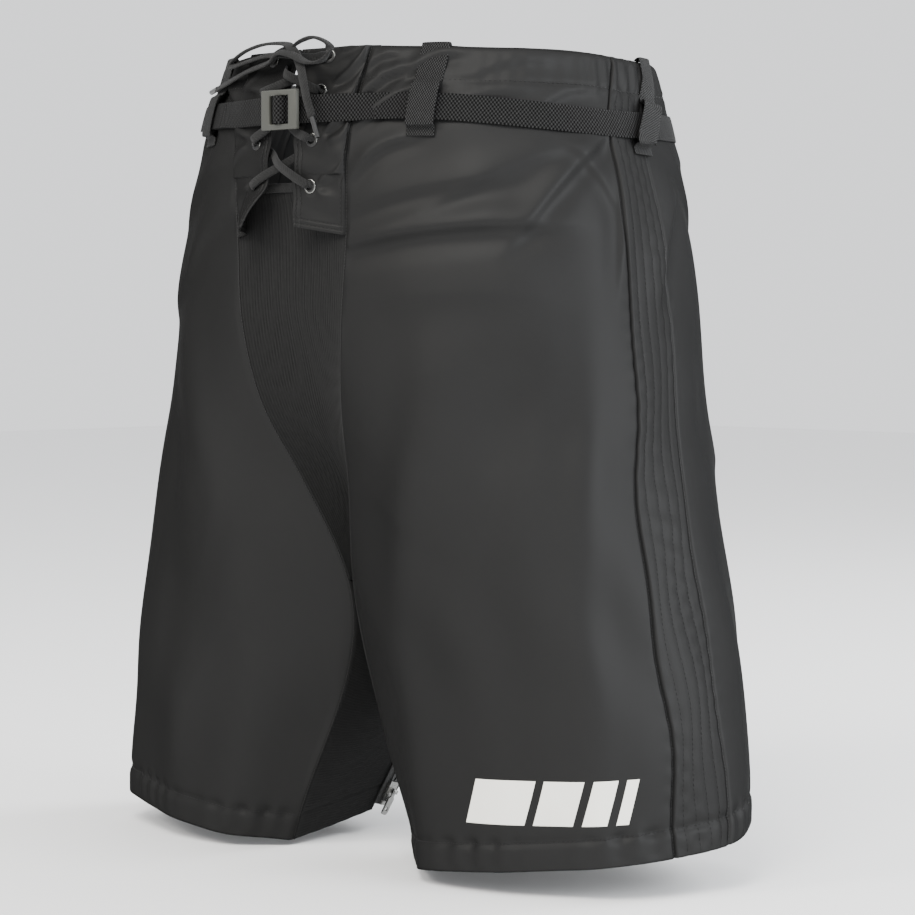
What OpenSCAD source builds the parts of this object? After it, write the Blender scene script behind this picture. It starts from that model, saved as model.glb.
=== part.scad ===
// Outer shell of ice hockey pants: a woven nylon cover with a laced fly, a webbing belt, a ribbed stretch
// gusset and a short zip inside each leg. Front faces -Y, the wearer's left is +X, the belt line is z = 0.

/* [Overall] */
// Half width of the waist at the belt line
waist_half_w = 172; // [168:1:176]
// Height of the waist rim above the belt line at the fly
rim_h = 41; // [40:1:43]
// Drop from the belt line to the front inner corner of the hem
leg_drop = 496; // [488:2:504]
// Thickness of one cloth panel
cloth = 1.5; // [1.2:0.1:1.8]

/* [Fly] */
// Distance of each eyelet from the middle of the fly
eyelet_x = 27; // [25:1:30]
// Distance of each flap's free edge from the middle of the fly at its foot
flap_edge_x = 12; // [9:1:14]
// The same distance at the rim, where the bow draws the flaps together
flap_top_x = 1; // [1:0.5:4]
// Outer diameter of an eyelet
eyelet_d = 9.5; // [8.5:0.5:11]
// Diameter of the hole in an eyelet
eyelet_hole = 5; // [4.5:0.5:5.5]
// Diameter of the rounded lace
lace_d = 4; // [3:0.5:4]

/* [Belt] */
// Width of the belt webbing
belt_w = 18; // [16:1:19]
// Thickness of the belt webbing
belt_t = 1.2; // [1:0.1:1.4]
// Width of the buckle frame
buckle_w = 34; // [32:1:38]
// Height of the buckle frame
buckle_h = 26; // [26:1:30]
// Thickness of the buckle frame
buckle_t = 3.4; // [3:0.2:4]
// Width of the webbing of a belt loop
loop_w = 19; // [15:1:22]

/* [Zips] */
// Length of each leg zip
zip_len = 140; // [130:5:140]
// Length of a zip slider
slider_len = 13; // [11:1:14]
// Length of a zip pull from its pin
pull_len = 18; // [14:1:20]

/* [Hidden] */

// Upper body: height, half width, depth in front of the middle, depth behind it
TRUNK = [[-leg_drop, waist_half_w + 78, 150, 140], [-289, waist_half_w + 52, 160, 152],
         [-206, waist_half_w + 40, 160, 152], [-123, waist_half_w + 28, 157, 150],
         [-60, waist_half_w + 16, 150, 146], [0, waist_half_w, 142, 138], [rim_h, waist_half_w - 9, 126, 122]];
// Seam between the front panel and the gusset: height, x, y
FRONT_EDGE = [[-leg_drop, 62, -76], [-312, 1.5, -80], [-242, 22, -104], [-196, 37, -124], [-143, 47, -134],
              [-85, 52, -134], [-20, 54, -133], [rim_h, 57, -115]];
// Rear edge of the back panel, which is the centre seam above the crotch and the zip line below it
BACK_EDGE = [[-486, 67, 10], [-400, 36, 38], [-340, 14.4, 57.5], [-300, 0, 84], [-260, 0, 120], [-206, 0, 150],
             [-123, 0, 150], [-60, 0, 146], [0, 0, 138], [rim_h, 0, 122]];
// Around one half, from the fly (0) to the centre back (1): place, height of the hem, height of the rim
HEM = [[0, -leg_drop], [0.2, -486], [0.35, -478], [0.45, -473], [0.63, -462], [0.8, -464], [0.92, -472], [1, -484]];
RIM = [[0, rim_h], [0.2, rim_h - 3], [0.32, rim_h - 4], [0.5, rim_h - 8], [0.75, rim_h - 6], [1, rim_h - 4]];
// Oval of one leg at the hem, along axes turned 45 degrees: middle, half axes and the arc of the outer cloth
LEG_MIDDLE = [104, 124];
LEG_AXES = [106, 92];
LEG_ARC = [198, -115];
// Heights between which the body turns into two legs
SPLIT = [-190, -490];
// Share of each half over which the cloth bends to meet its seams
SEAM_REACH = 0.3;
// Front and rear seams of the side strip at the rim and at the hem
STRIP_FRONT = [0.40, 0.43];
STRIP_BACK = [0.485, 0.505];
// How far the side strip leans back under the rim, as a share of the half's girth and of its height
STRIP_LEAN = [0.03, 0.1];
// Heights of the gusset's top, the flap's foot at the seam and at its free edge, and the eyelets
GUSSET_TOP = -52;
FLAP_FOOT = [-82, -76];
EYELET_Z = [35, 12, -20, -50];
// How far the flap's outer and inner faces stand off the seam line, and how far its middle bulges out
FLAP_CLOTH = [1.4, 0.2];
FLAP_BULGE = 7;
// Heights between which the flaps are drawn together
FLAP_DRAWN = [-5, 25];
// Rear and front ends of the seam under the crotch, how far it sags between them, and the gusset's hollow
// above it, as heights where the hollow starts and is full, then depth
CROTCH = [[0, 84, -300], [1.5, -80, -312]];
CROTCH_SAG = 25;
HOLLOWS = [[-52, -120, 6], [-120, -260, 12]];

function ease(a, b, x) = let (t = min(max((x - a) / (b - a), 0), 1)) t * t * (3 - 2 * t);
function mix(a, b, t) = a + (b - a) * t;
function flip(p) = [-p.x, p.y, p.z];

// Slope at row i of a table, and the smooth curve through the table at key k
function rise(tab, i) = (tab[i + 1] - tab[i]) / (tab[i + 1][0] - tab[i][0]);
function slope(tab, i) =
    let (n = len(tab) - 1)
    i == 0 ? rise(tab, 0) : i == n ? rise(tab, n - 1)
    : let (a = tab[i][0] - tab[i - 1][0], b = tab[i + 1][0] - tab[i][0])
      (rise(tab, i - 1) * b + rise(tab, i) * a) / (a + b);
function curve(tab, k) =
    let (n = len(tab) - 1, x = min(max(k, tab[0][0]), tab[n][0]),
         i = min(len([for (row = tab) if (row[0] <= x) 1]) - 1, n - 1),
         h = tab[i + 1][0] - tab[i][0], t = (x - tab[i][0]) / h)
    (2 * t * t * t - 3 * t * t + 1) * tab[i] + (t * t * t - 2 * t * t + t) * h * slope(tab, i)
    + (3 * t * t - 2 * t * t * t) * tab[i + 1] + (t * t * t - t * t) * h * slope(tab, i + 1);

// The cloth of one half: u runs from the fly around the wearer's left to the centre back, t from rim to hem
function leg_point(u) =
    let (a = mix(LEG_ARC[0], LEG_ARC[1], u), p = LEG_MIDDLE[0] + LEG_AXES[0] * cos(a),
         q = LEG_MIDDLE[1] + LEG_AXES[1] * sin(a))
    [p + q, p - q] / sqrt(2);
function trunk_point(u, z) =
    let (r = curve(TRUNK, z), start = -acos(curve(FRONT_EDGE, z)[1] / r[1]), a = mix(start, 90, u))
    [r[1] * cos(a), (a < 0 ? r[2] : r[3]) * sin(a)];
function ring_point(u, z) = mix(trunk_point(u, z), leg_point(u), ease(SPLIT[0], SPLIT[1], z));
function height(u, t) = mix(curve(RIM, u)[1], curve(HEM, u)[1], t);
function level(u, z) = let (top = curve(RIM, u)[1]) (top - z) / (top - curve(HEM, u)[1]);
function shell(u, t) =
    let (z = height(u, t), front = curve(FRONT_EDGE, z), back = curve(BACK_EDGE, z),
         wf = pow(max(0, 1 - u / SEAM_REACH), 2), wb = pow(max(0, 1 - (1 - u) / SEAM_REACH), 2),
         p = ring_point(u, z) + wf * ([front[1], front[2]] - ring_point(0, z))
             + wb * ([back[1], back[2]] - ring_point(1, z)))
    [p.x, p.y, z];
function offset_point(f, u, t, d) =
    let (e = 0.004, along = f(min(u + e, 1), t) - f(max(u - e, 0), t),
         down = f(u, min(t + e, 1)) - f(u, max(t - e, 0)), n = cross(down, along))
    f(u, t) + d * n / norm(n);
function skin(u, t, d) = offset_point(function (a, b) shell(a, b), u, t, d);
// All the way round: s runs from the fly by the left side to the centre back (1) and on to the fly (2)
function skin_round(s, z, d) = let (u = s <= 1 ? s : 2 - s, p = skin(u, level(u, z), d)) s <= 1 ? p : flip(p);
function share_of(mm, u, t) = 0.01 * mm / norm(shell(u + 0.005, t) - shell(u - 0.005, t));

// The inner leg: a runs from the zip line (0) to the front seam (1), t from the crotch to the hem
function edge_point(tab, z) = let (e = curve(tab, z)) [e[1], e[2], z];
function inner_point(a, t) =
    let (left = edge_point(BACK_EDGE, mix(CROTCH[0].z, curve(HEM, 1)[1], t)),
         right = edge_point(FRONT_EDGE, mix(CROTCH[1].z, curve(HEM, 0)[1], t)),
         hem_left = edge_point(BACK_EDGE, curve(HEM, 1)[1]), hem_right = edge_point(FRONT_EDGE, curve(HEM, 0)[1]),
         top = mix(CROTCH[0], CROTCH[1], a) - [0, 0, CROTCH_SAG * (1 - pow(2 * a - 1, 2))])
    mix(top, mix(hem_left, hem_right, a), t) + mix(left, right, a)
    - mix(mix(CROTCH[0], CROTCH[1], a), mix(hem_left, hem_right, a), t);

// A closed sheet from f(a, b, k), with a and b from 0 to 1, k = 0 on the outer face and 1 on the inner one
module sheet(f, na, nb) {
    function id(i, j, k) = (k * (nb + 1) + j) * (na + 1) + i;
    function quad(a, b, c, d) = [[a, b, c], [a, c, d]];
    polyhedron(
        [for (k = [0, 1], j = [0:nb], i = [0:na]) f(i / na, j / nb, k)],
        concat(
            [for (j = [0:nb - 1], i = [0:na - 1])
                each concat(quad(id(i, j, 0), id(i + 1, j, 0), id(i + 1, j + 1, 0), id(i, j + 1, 0)),
                            quad(id(i, j, 1), id(i, j + 1, 1), id(i + 1, j + 1, 1), id(i + 1, j, 1)))],
            [for (i = [0:na - 1])
                each concat(quad(id(i + 1, 0, 0), id(i, 0, 0), id(i, 0, 1), id(i + 1, 0, 1)),
                            quad(id(i, nb, 0), id(i + 1, nb, 0), id(i + 1, nb, 1), id(i, nb, 1)))],
            [for (j = [0:nb - 1])
                each concat(quad(id(0, j, 0), id(0, j + 1, 0), id(0, j + 1, 1), id(0, j, 1)),
                            quad(id(na, j + 1, 0), id(na, j, 0), id(na, j, 1), id(na, j + 1, 1)))]));
}
module on_both_sides(side) {
    if (side > 0) children();
    else mirror([1, 0, 0]) children();
}
module place(at, toward) {
    n = toward / norm(toward);
    translate(at) rotate([0, acos(n.z), atan2(n.y, n.x)]) children();
}

// ---- cloth panels ----
// Half width of the slot that the cloth leaves along the zip line
SLOT_W = 8;
SLOT_CLOSES = [-350, -360];
function slot_at(z) = SLOT_W * ease(SLOT_CLOSES[0], SLOT_CLOSES[1], z);
// Place round the half of the side strip's front seam (k = 0) and rear seam (k = 1)
function strip_line(k, t) =
    let (ends = k == 0 ? STRIP_FRONT : STRIP_BACK) mix(ends[0], ends[1], t) + STRIP_LEAN[0] * ease(STRIP_LEAN[1], 0, t);
module front_panel(side) color("#3b3b3d") on_both_sides(side)
    sheet(function (a, b, k) skin(a * strip_line(0, b), b, -k * cloth), 16, 26);
module side_strip(side) color("#47474a") on_both_sides(side)
    sheet(function (a, b, k) skin(mix(strip_line(0, b), strip_line(1, b), a), b, -k * cloth), 3, 26);
module back_panel(side) color("#48484a") on_both_sides(side)
    sheet(function (a, b, k)
              let (last = 1 - share_of(slot_at(height(1, b)), 0.99, b))
              skin(mix(strip_line(1, b), last, a), b, -k * cloth), 18, 26);
module front_gusset() color("#2c2c2d")
    sheet(function (a, b, k)
              let (z = mix(GUSSET_TOP, CROTCH[1].z, b), e = curve(FRONT_EDGE, z), w = 2 * a - 1,
                   sag = HOLLOWS[0][2] * ease(HOLLOWS[0][0], HOLLOWS[0][1], z)
                         + HOLLOWS[1][2] * ease(HOLLOWS[1][0], HOLLOWS[1][1], z) * (1 - ease(-270, CROTCH[1].z, z)))
              [w * e[1], e[2] + sag * (1 - w * w) + k * cloth, z], 8, 16);
module inner_gusset(side) color("#29292a") on_both_sides(side)
    sheet(function (a, b, k)
              let (z = mix(CROTCH[0].z, curve(HEM, 1)[1], b),
                   first = slot_at(z) / norm(inner_point(0, b) - inner_point(1, b)))
              offset_point(function (p, q) inner_point(p, q), mix(first, 0.985, a), b, -k * cloth), 8, 16);

// ---- fly ----
function flap_point(x, z, d) =
    let (e = curve(FRONT_EDGE, z)) [x, e[2] - FLAP_BULGE * (1 - pow(x / e[1], 2)) - d, z];
function eyelet_at(i) = flap_point(eyelet_x, EYELET_Z[i], FLAP_CLOTH[0]);
function eyelet_normal(i) =
    let (x = eyelet_x, z = EYELET_Z[i], down = flap_point(x, z - 1, 0) - flap_point(x, z + 1, 0),
         along = flap_point(x + 1, z, 0) - flap_point(x - 1, z, 0))
    cross(down, along);
EYELET_WALL = 0.4;
barrel_r = eyelet_hole / 2 + EYELET_WALL;
// How far the barrel reaches through the flap, and the height of the domed rim on its face
BARREL_REACH = 2.4;
EYELET_RIM = 0.9;
WASHER_T = 0.5;
module at_eyelets() for (i = [0:len(EYELET_Z) - 1]) place(eyelet_at(i), eyelet_normal(i)) children();
module fly_flap(side) color("#39393b") on_both_sides(side) difference() {
    sheet(function (a, b, k)
              let (z = mix(rim_h, mix(FLAP_FOOT[1], FLAP_FOOT[0], a), b),
                   free = mix(flap_edge_x, flap_top_x, ease(FLAP_DRAWN[0], FLAP_DRAWN[1], z)),
                   x = mix(free, curve(FRONT_EDGE, z)[1], a))
              flap_point(x, z, FLAP_CLOTH[k]), 6, 12);
    at_eyelets() cylinder(h = 8, r = barrel_r + 0.1, center = true, $fn = 32);
}
module eyelets(side) color("#a9abad") on_both_sides(side) at_eyelets() rotate_extrude($fn = 48)
    polygon([[barrel_r - EYELET_WALL, -BARREL_REACH], [barrel_r, -BARREL_REACH], [barrel_r, 0.1],
             [eyelet_d / 2, 0.1], [eyelet_d / 2, 0.35], [eyelet_d / 2 - 0.8, EYELET_RIM],
             [barrel_r, EYELET_RIM + 0.1], [barrel_r - EYELET_WALL, EYELET_RIM - 0.2]]);
module eyelet_washers(side) color("#8f9193") on_both_sides(side)
    at_eyelets() translate([0, 0, WASHER_T - BARREL_REACH]) difference() {
        cylinder(h = WASHER_T, r = eyelet_d / 2 - 0.3, $fn = 48);
        cylinder(h = 3 * WASHER_T, r = barrel_r + 0.05, center = true, $fn = 48);
    }

// ---- lace: one lace from its left end through the bow and eyelets to its right end ----
LACE = [[37, -149, -6], [33, -150, 6], [26, -147, 20], [14, -140, 33], [5, -138, 41], [-10, -131, 45],
        [-34, -127, 46], [-60, -121, 43], [-79, -116, 37], [-72, -120, 34], [-52, -125, 36], [-28, -130, 38],
        [-8, -135, 37], [3, -134, 36], [15, -129, 34.5], [24, -128, 35], [27, -124, 35], [26, -119, 32],
        [15, -122, 24], [0, -133, 20], [-14, -136, 16], [-26, -136, 13], [-27, -131, 12], [-26, -126, 8],
        [-14, -130, -2], [0, -138, -6], [14, -142.5, -14], [25, -144.5, -18], [27, -140, -20], [25, -135, -23],
        [13, -137, -29], [0, -140, -35], [-14, -145, -42], [-25, -145.5, -48], [-27, -141, -50],
        [-24, -136, -50], [0, -135, -50], [24, -136, -50], [27, -141, -50], [25, -145.5, -48], [14, -147, -42],
        [0, -145, -35], [-13, -138, -28], [-25, -135, -23], [-27, -140, -20], [-25, -144.5, -18],
        [-14, -143.5, -12], [0, -143, -4], [14, -131, 0], [26, -126, 8], [27, -131, 12], [26, -136, 13],
        [14, -137, 18], [0, -138, 24], [-13, -126, 28], [-26, -119, 32], [-27, -124, 35], [-24, -128, 36],
        [-12, -131, 40], [0, -134, 41], [14, -137, 45], [30, -140, 46], [43, -139, 40], [40, -142, 31],
        [26, -143, 30], [10, -142, 36], [-4, -141, 38], [-20, -135, 33], [-49, -128, 29], [-76, -120, 24],
        [-100, -110, 21]];
LACE_SIDES = 8;
// Length and radius of the stiff tip on each end
TIP = [14, 1.7];
module tube(route, r) {
    n = len(route);
    way = [for (i = [0:n - 1]) let (d = route[min(i + 1, n - 1)] - route[max(i - 1, 0)]) d / norm(d)];
    // Each ring's first direction is carried along from the ring before it, so that the tube doesn't twist
    function unit(v) = v / norm(v);
    side = [for (i = 0, c = unit(cross(way[0], [0, 0.3, 1])); i < n;
                 i = i + 1, c = let (w = way[min(i, n - 1)]) unit(c - (c * w) * w)) c];
    points = [for (i = [0:n - 1], k = [0:LACE_SIDES - 1])
        route[i] + r * (cos(360 * k / LACE_SIDES) * side[i] + sin(360 * k / LACE_SIDES) * cross(way[i], side[i]))];
    s = LACE_SIDES;
    polyhedron(points, concat(
        [for (i = [0:n - 2], k = [0:s - 1]) let (l = (k + 1) % s)
            each [[i * s + k, (i + 1) * s + l, i * s + l], [i * s + k, (i + 1) * s + k, (i + 1) * s + l]]],
        [[for (k = [0:s - 1]) k]], [[for (k = [0:s - 1]) n * s - 1 - k]]));
}
module lace() color("#333335") tube(LACE, lace_d / 2);
module lace_tips() color("#2a2a2c") {
    last = len(LACE) - 1;
    place(LACE[0], LACE[0] - LACE[1]) cylinder(h = TIP[0], r = TIP[1], $fn = 24);
    place(LACE[last], LACE[last] - LACE[last - 1]) cylinder(h = TIP[0], r = TIP[1], $fn = 24);
}

// ---- waistband ----
// Height of the facing's foot, and the depths of its two faces behind the outer face of the cloth
FACING_FOOT = 14;
FACING_DEPTH = [-3.4, -4.6];
// Top and foot of the elastic, its depths, and where it starts and ends round the waist
ELASTIC_Z = [31, 17];
ELASTIC_DEPTH = [-1.9, -3];
ELASTIC_REACH = [0.35, 1.65];
module waist_facing() color("#303032")
    sheet(function (a, b, k) let (s = 2 * a, u = s <= 1 ? s : 2 - s)
              skin_round(s, mix(curve(RIM, u)[1] - 0.5, FACING_FOOT, b), FACING_DEPTH[k]), 44, 2);
module waist_elastic() color("#e6e6e2")
    sheet(function (a, b, k) let (s = mix(ELASTIC_REACH[0], ELASTIC_REACH[1], a))
              skin_round(s, mix(ELASTIC_Z[0], ELASTIC_Z[1], b), ELASTIC_DEPTH[k]), 30, 1);

// ---- belt ----
// Middle of the buckle across the fly, how far its bar stands out of the belt's plane, and that plane's y
belt_x = 6;
BAR_OUT = 6.7;
BELT_PLANE = -142;
// How far the middle of the strap, and of the tail over it, stand off the cloth
STRAP_OUT = 2.2;
TAIL_OUT = 3.9;
// Height of the belt: it sags on the wearer's left side, and evens out at the back
function belt_z(s) = s <= 1 ? -11 * ease(0.05, 0.45, s) + 6 * ease(0.5, 1, s) : -5 * (1 - ease(1, 1.5, s));
function belt_row(s, d) = [for (z = [belt_w / 2, -belt_w / 2], k = [1, -1])
    skin_round(s, belt_z(s) + z, d + k * belt_t / 2)];
function arc(r, a0, a1, n) = [for (i = [0:n]) let (a = mix(a0, a1, i / n)) [belt_x + r * cos(a), BAR_OUT + r * sin(a)]];
// Stretches in front of the fly, as distance across and distance out from the belt's plane
TAIL_RUN = concat([[-45, -4.4], [-30, -0.6], [-18, 2.6], [-11, 3.7], [-3.5, 3.7], [-1.2, 4.9]], arc(4.3, 180, 0, 8),
                  [[10.8, 4], [13, 1.6], [16, 1], [24, 1], [34, -0.5], [46, -4.5]]);
FOLD_RUN = concat([[-45, -6.2], [-30, -2.4], [-18, 0.8], [-11, 2], [-3, 2], [1, 2.9], [3, 4.6]],
                  arc(2.6, 190, -90, 10), [[4.3, 2.6], [2, 1], [-3, 0.3], [-11, 0.3], [-18, -0.9], [-30, -4.1]]);
function run_rows(run) = [for (i = [0:len(run) - 1])
    let (d = run[min(i + 1, len(run) - 1)] - run[max(i - 1, 0)], n = [-d.y, d.x] / norm(d))
    [for (z = [belt_w / 2, -belt_w / 2], k = [1, -1])
        let (p = run[i] + k * n * belt_t / 2) [p.x, BELT_PLANE - p.y, z]]];
BELT_ROWS = concat([for (s = [1.84:0.02:1.97]) belt_row(s, TAIL_OUT)], run_rows(TAIL_RUN),
                   [for (s = [0.03:0.0485:1.975]) belt_row(s, STRAP_OUT)], run_rows(FOLD_RUN));
module belt() color("#333334")
    sheet(function (a, b, k) BELT_ROWS[round(a * (len(BELT_ROWS) - 1))][2 * b + k], len(BELT_ROWS) - 1, 1);

module rounded(w, h, r) {
    square([w - 2 * r, h], center = true);
    square([w, h - 2 * r], center = true);
    for (x = [-1, 1], y = [-1, 1]) translate([x * (w / 2 - r), y * (h / 2 - r)]) circle(r, $fn = 32);
}
// Square slide frame with a round centre bar, which the belt passes over
// Widths of the buckle's upright and level sides, and the radius of its centre bar
BUCKLE_SIDES = [8, 3.75];
BAR_R = 1.5;
module buckle() color("#65655d") translate([belt_x, BELT_PLANE - BAR_OUT, 0]) {
    rotate([90, 0, 0]) linear_extrude(buckle_t, center = true) difference() {
        rounded(buckle_w, buckle_h, 1.5);
        rounded(buckle_w - 2 * BUCKLE_SIDES[0], buckle_h - 2 * BUCKLE_SIDES[1], 0.8);
    }
    cylinder(h = buckle_h - 6, r = BAR_R, center = true, $fn = 48);
}
// Profile of a belt loop below the rim: height from the belt's middle, and how far it stands off the cloth
LOOP_PROFILE = [[20, 0.4], [15, 2.6], [10.5, 5.1], [-10.5, 5.1], [-12.5, 2.6], [-14, 0.4], [-19, 0.3]];
LOOP_T = 1.2;
SIDE_LOOP_LEAN = 0.0016;
// lean: how far the loop leans toward the back for each millimetre above its foot, as a share of the half's girth
module belt_loop(s, lean = 0) color("#3e3e40") {
    top = curve(RIM, s <= 1 ? s : 2 - s)[1];
    rows = concat([[top, 0.3]], [for (row = LOOP_PROFILE) [belt_z(s) + row[0], row[1]]]);
    half = share_of(loop_w / 2, s <= 1 ? min(s, 0.99) : 2 - s, 0.08);
    sheet(function (a, b, k) let (row = rows[round(b * (len(rows) - 1))])
              skin_round(s + mix(-half, half, a) + lean * max(row[0] - belt_z(s) + 10, 0), row[0],
                         row[1] + (1 - k) * LOOP_T), 2, len(rows) - 1);
}

// ---- zips, in a frame with X across, Y up along the zip and Z out of the leg ----
ZIP_FOOT = edge_point(BACK_EDGE, -482);
zip_up = edge_point(BACK_EDGE, -382) - edge_point(BACK_EDGE, -482);
ZIP_Y = zip_up / norm(zip_up);
zip_out = let (n = [-0.97, 0.22, 0]) n - (n * ZIP_Y) * ZIP_Y;
ZIP_Z = zip_out / norm(zip_out);
ZIP_X = cross(ZIP_Y, ZIP_Z);
// Place of the slider up the zip, and of the pull's pin up the zip and out of it
SLIDER_Y = 6;
PIN_Y = SLIDER_Y + slider_len / 2;
PIN_Z = 5.1;
PIN_R = 0.7;
TAPE = [6.6, 0.8];
TEETH_T = 2.4;
TOOTH_PITCH = 2.5;
STOP_LEN = 4;
// Width, thickness and distance from the middle of a slider plate
PLATE = [10, 1.2, 1.6];
PULL_T = 1.2;
module in_zip(side) on_both_sides(side)
    multmatrix([for (i = [0:2]) [ZIP_X[i], ZIP_Y[i], ZIP_Z[i], ZIP_FOOT[i]]]) children();
module zip_tapes(side) color("#2e2e30") in_zip(side) for (x = [-1, 1])
    translate([x * 6.5, zip_len / 2, 0]) cube([TAPE[0], zip_len, TAPE[1]], center = true);
module zip_chain(side) color("#3a3a3c") in_zip(side) for (m = [0, 1]) mirror([m, 0, 0])
    linear_extrude(TEETH_T, center = true)
        polygon(concat([[3.2, 3.2], [3.2, zip_len - 4.2]],
                       [for (i = [floor((zip_len - 2 * STOP_LEN) / TOOTH_PITCH) - 1:-1:0], foot = [i * TOOTH_PITCH])
                           each [[0.75, foot + 4.9], [0.75, foot + 3.7], [1.5, foot + 3.6], [1.5, foot + 3.2]]]));
module zip_stops(side) color("#9a9c9e") in_zip(side) for (y = [0, zip_len - STOP_LEN])
    translate([-3.2, y, -1.4]) cube([6.4, 3, 2.8]);
module zip_slider(side) color("#b9bbbd") in_zip(side) translate([0, SLIDER_Y, 0]) {
    for (m = [0, 1]) mirror([0, 0, m]) {
        translate([-PLATE[0] / 2, 0, PLATE[2]]) cube([PLATE[0], slider_len, PLATE[1]]);
        for (x = [-PLATE[0] / 2, PLATE[0] / 2 - 0.8]) translate([x, 0, 0.8]) cube([0.8, slider_len, 0.8]);
    }
    translate([-0.35, slider_len - 3, -1.7]) cube([0.7, 2.5, 3.4]);
    translate([0, slider_len / 2, 0]) {
        for (x = [-3, 2.1]) translate([x, -1.4, 2.8]) cube([0.9, 2.8, 3.6]);
        translate([0, 0, PIN_Z]) rotate([0, 90, 0]) cylinder(h = 5, r = PIN_R, center = true, $fn = 32);
    }
}
module zip_pull(side) color("#c4c6c8") in_zip(side) translate([0, PIN_Y, PIN_Z]) difference() {
    union() {
        rotate([0, 90, 0]) cylinder(h = 3.4, r = 1.8, center = true, $fn = 32);
        translate([-1.7, -5, -PULL_T / 2]) cube([3.4, 5, PULL_T]);
        translate([0, -(4 + pull_len) / 2, 0]) linear_extrude(PULL_T, center = true) rounded(6.6, pull_len - 4, 2);
    }
    rotate([0, 90, 0]) cylinder(h = 5, r = PIN_R + 0.3, center = true, $fn = 32);
    translate([0, -pull_len + 4.5, 0]) cylinder(h = 3, r = 1.6, center = true, $fn = 32);
}

// ---- transfer on the left hem: slanted blocks that shorten toward the side ----
MARK_BLOCKS = [[0.19, 0.262], [0.272, 0.318], [0.328, 0.355], [0.365, 0.379]];
MARK_Z = [-427, -455];
// Lean of the blocks as a share of the half's girth, how much their line climbs, and the film's two faces
MARK_LEAN = 0.012;
MARK_CLIMB = 20;
MARK_FACES = [0.42, 0.14];
module hem_mark() color("#f1f0e8") for (block = MARK_BLOCKS)
    sheet(function (a, b, k)
              let (u = mix(block[0], block[1], a) + MARK_LEAN * (0.5 - b), z = mix(MARK_Z[0], MARK_Z[1], b))
              skin(u, level(u, z + MARK_CLIMB * (u - MARK_BLOCKS[0][0])), MARK_FACES[k]), 3, 2);

front_panel(1);  // front_panel_left
front_panel(-1);  // front_panel_right
side_strip(1);  // side_strip_left
side_strip(-1);  // side_strip_right
back_panel(1);  // back_panel_left
back_panel(-1);  // back_panel_right
front_gusset();
inner_gusset(1);  // inner_gusset_left
inner_gusset(-1);  // inner_gusset_right
fly_flap(1);  // fly_flap_left
fly_flap(-1);  // fly_flap_right
waist_facing();
waist_elastic();
eyelets(1);  // eyelets_left
eyelets(-1);  // eyelets_right
eyelet_washers(1);  // eyelet_washers_left
eyelet_washers(-1);  // eyelet_washers_right
lace();
lace_tips();
belt();
buckle();
belt_loop(0.11);  // belt_loop_front_left
belt_loop(1.91);  // belt_loop_front_right
belt_loop(0.475, SIDE_LOOP_LEAN);  // belt_loop_side_left
belt_loop(1.525, -SIDE_LOOP_LEAN);  // belt_loop_side_right
belt_loop(1);  // belt_loop_back
zip_tapes(1);  // zip_tapes_left
zip_tapes(-1);  // zip_tapes_right
zip_chain(1);  // zip_chain_left
zip_chain(-1);  // zip_chain_right
zip_stops(1);  // zip_stops_left
zip_stops(-1);  // zip_stops_right
zip_slider(1);  // zip_slider_left
zip_slider(-1);  // zip_slider_right
zip_pull(1);  // zip_pull_left
zip_pull(-1);  // zip_pull_right
hem_mark();
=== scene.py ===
import math

import bpy
import numpy as np
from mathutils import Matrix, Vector


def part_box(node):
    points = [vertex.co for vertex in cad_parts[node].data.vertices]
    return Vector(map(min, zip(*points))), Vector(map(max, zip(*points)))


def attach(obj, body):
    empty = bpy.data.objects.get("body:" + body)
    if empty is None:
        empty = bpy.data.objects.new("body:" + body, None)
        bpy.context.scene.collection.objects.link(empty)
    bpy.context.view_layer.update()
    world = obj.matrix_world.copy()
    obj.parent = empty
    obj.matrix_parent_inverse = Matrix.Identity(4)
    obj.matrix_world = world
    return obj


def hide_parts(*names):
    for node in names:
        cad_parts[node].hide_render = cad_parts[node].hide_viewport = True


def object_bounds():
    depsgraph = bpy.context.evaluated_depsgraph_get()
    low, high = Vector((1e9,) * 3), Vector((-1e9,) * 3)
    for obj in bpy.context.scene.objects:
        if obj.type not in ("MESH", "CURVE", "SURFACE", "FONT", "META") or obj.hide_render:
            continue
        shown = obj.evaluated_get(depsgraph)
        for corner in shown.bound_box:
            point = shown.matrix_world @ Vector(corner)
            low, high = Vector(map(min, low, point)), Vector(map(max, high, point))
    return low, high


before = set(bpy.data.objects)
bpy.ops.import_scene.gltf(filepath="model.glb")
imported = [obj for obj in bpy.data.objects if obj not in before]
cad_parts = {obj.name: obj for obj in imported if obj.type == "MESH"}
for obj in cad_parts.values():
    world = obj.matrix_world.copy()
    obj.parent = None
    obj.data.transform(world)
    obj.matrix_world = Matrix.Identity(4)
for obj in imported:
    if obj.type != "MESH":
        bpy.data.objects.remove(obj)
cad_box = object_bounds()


# The camera stands at the height of the hips, a little over two metres away, off the wearer's left front.
# It is tipped down by less than three degrees, so the legs keep their true splay.
camera = bpy.data.objects.new("studio_camera", bpy.data.cameras.new("studio_camera"))
bpy.context.scene.collection.objects.link(camera)
camera_distance, camera_turn, camera_height = 2.1, math.radians(45), -0.130
camera.location = (camera_distance * math.sin(camera_turn), -camera_distance * math.cos(camera_turn), camera_height)
aim = Vector((0.0155 * math.cos(camera_turn), 0.0155 * math.sin(camera_turn), -0.232))
camera.rotation_euler = (aim - camera.location).to_track_quat("-Z", "Y").to_euler()
camera.data.lens = 119.7
camera.data.sensor_width = 36
camera.data.clip_start, camera.data.clip_end = 0.05, 30
bpy.context.scene.camera = camera


# Lace: one flat braided polyester lace about 6 mm wide. It is threaded from the foot of the fly up through
# four pairs of eyelets, crossing between them, and is tied over the rim in a bow with two free ends.
MM = 0.001


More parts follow.
